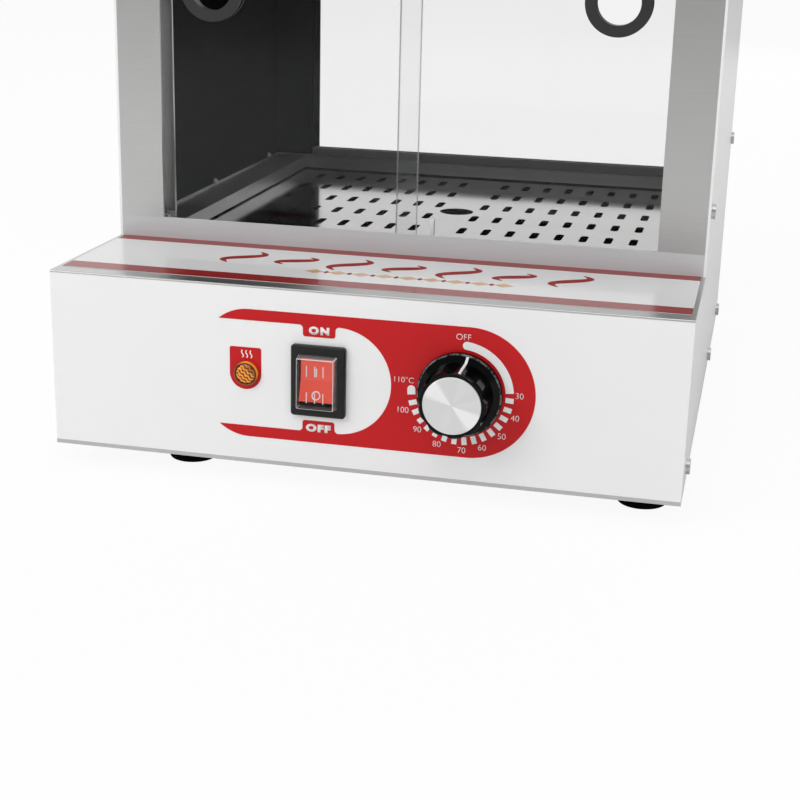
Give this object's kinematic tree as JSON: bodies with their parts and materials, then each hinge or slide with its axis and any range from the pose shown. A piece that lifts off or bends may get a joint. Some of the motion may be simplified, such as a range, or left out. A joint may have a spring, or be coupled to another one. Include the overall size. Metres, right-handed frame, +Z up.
{
  "type": "hot dog steamer",
  "caption": "Countertop hot dog steamer: heated water well under a perforated tray, display cabinet with sliding glass doors, front control panel with switch, lamp and dial.",
  "frame": {"origin": "under the middle of the bounding box, on the surface that the feet stand on", "axes": "+Z up, +Y towards the back, +X to the user's right; the controls face -Y"},
  "size_m": [0.2936, 0.3996, 0.39],
  "materials": {
    "white_paint": "satin white powder coat",
    "stainless": "satin stainless sheet",
    "polished_stainless": "polished stainless",
    "track_metal": "satin grey drawn metal",
    "zinc_steel": "zinc plated",
    "black_rubber": "matte black",
    "red_print": "printed red film",
    "ledge_print": "glossy printed film with red border stripes",
    "black_plastic": "fine textured black",
    "gloss_black": "glossy black phenolic",
    "red_rocker": "translucent red",
    "clear_cover": "clear soft plastic",
    "amber_lens": "faceted amber",
    "spun_aluminium": "spun",
    "white_ink": "white inlay",
    "shaft_steel": "turned",
    "thermostat_case": "moulded resin",
    "copper": "drawn copper",
    "heater_sheath": "heat darkened sheath",
    "cutout_case": "ceramic",
    "terminal_plastic": "natural nylon",
    "brass": "nickel free brass",
    "red_vinyl": "dipped vinyl",
    "clear_glass": "clear toughened glass",
    "grey_trim": "grey glazing strip",
    "pull_plastic": "black moulded",
    "clear_nylon": "translucent nylon"
  },
  "bodies": {
    "body": {"base_plate": "stainless", "front_panel": "white_paint", "rear_base_panel": "white_paint", "front_ledge": "stainless", "feet": "black_rubber", "foot_screws": "zinc_steel", "control_label": "red_print", "ledge_label": "ledge_print", "switch_body": "black_plastic", "switch_cover": "clear_cover", "lamp_lens": "amber_lens", "lamp_body": "black_plastic", "thermostat_body": "thermostat_case", "sensor_bulb": "copper", "well_deck": "stainless", "water_tank": "stainless", "heating_element": "heater_sheath", "heater_fixings": "zinc_steel", "heat_shield": "zinc_steel", "limit_switch": "cutout_case", "terminal_block": "terminal_plastic", "drain_pipe": "stainless", "drain_valve": "brass", "gland_body": "black_plastic", "gland_nuts": "black_plastic", "lower_track": "track_metal", "upper_track": "track_metal", "door_guide": "clear_nylon", "rear_posts": "stainless", "wall_rivets": "zinc_steel", "rear_glass": "clear_glass", "glass_channels": "grey_trim", "ceiling_panel": "stainless", "header_panel": "white_paint", "roof_panel": "white_paint", "rack_brackets": "stainless", "panel_screws": "zinc_steel", "left_base_side": "white_paint", "left_cabinet_side": "white_paint", "left_inner_wall": "stainless", "left_front_post": "stainless", "right_base_side": "white_paint", "right_cabinet_side": "white_paint", "right_inner_wall": "stainless", "right_front_post": "stainless"},
    "left_door": {"left_door": "clear_glass", "left_door_pull": "pull_plastic"},
    "right_door": {"right_door": "clear_glass", "right_door_pull": "pull_plastic"},
    "rocker": {"rocker": "red_rocker"},
    "knob": {"knob_body": "gloss_black", "knob_cap": "spun_aluminium", "knob_pointer": "white_ink", "thermostat_shaft": "shaft_steel"},
    "drain_handle": {"drain_ball": "brass", "drain_lever": "zinc_steel", "drain_grip": "red_vinyl"},
    "tray": {"perforated_tray": "polished_stainless"},
    "rack": {"bun_rack": "shaft_steel"}
  },
  "joints": [
    {"name": "left_door_slide", "type": "slide", "parent": "body", "child": "left_door", "axis": [1, 0, 0], "range_m": [0, 0.119]},
    {"name": "right_door_slide", "type": "slide", "parent": "body", "child": "right_door", "axis": [1, 0, 0], "range_m": [-0.119, 0]},
    {"name": "rocker_tip", "type": "hinge", "parent": "body", "child": "rocker", "pos_m": [-0.0175, -0.17825, 0.0519], "axis": [1, 0, 0], "range_deg": [0, 20]},
    {"name": "knob_turn", "type": "hinge", "parent": "body", "child": "knob", "pos_m": [0.0466, -0.18025, 0.052], "axis": [0, 1, 0], "range_deg": [-9, 258]},
    {"name": "drain_turn", "type": "hinge", "parent": "body", "child": "drain_handle", "pos_m": [0.06, 0.18775, 0.055], "axis": [0, 0, 1], "range_deg": [0, 90]},
    {"name": "tray_lift", "type": "slide", "parent": "body", "child": "tray", "axis": [0, 0, 1], "range_m": [0, 0.13]},
    {"name": "rack_lift", "type": "slide", "parent": "body", "child": "rack", "axis": [0, 0, 1], "range_m": [0, 0.06]}
  ]
}
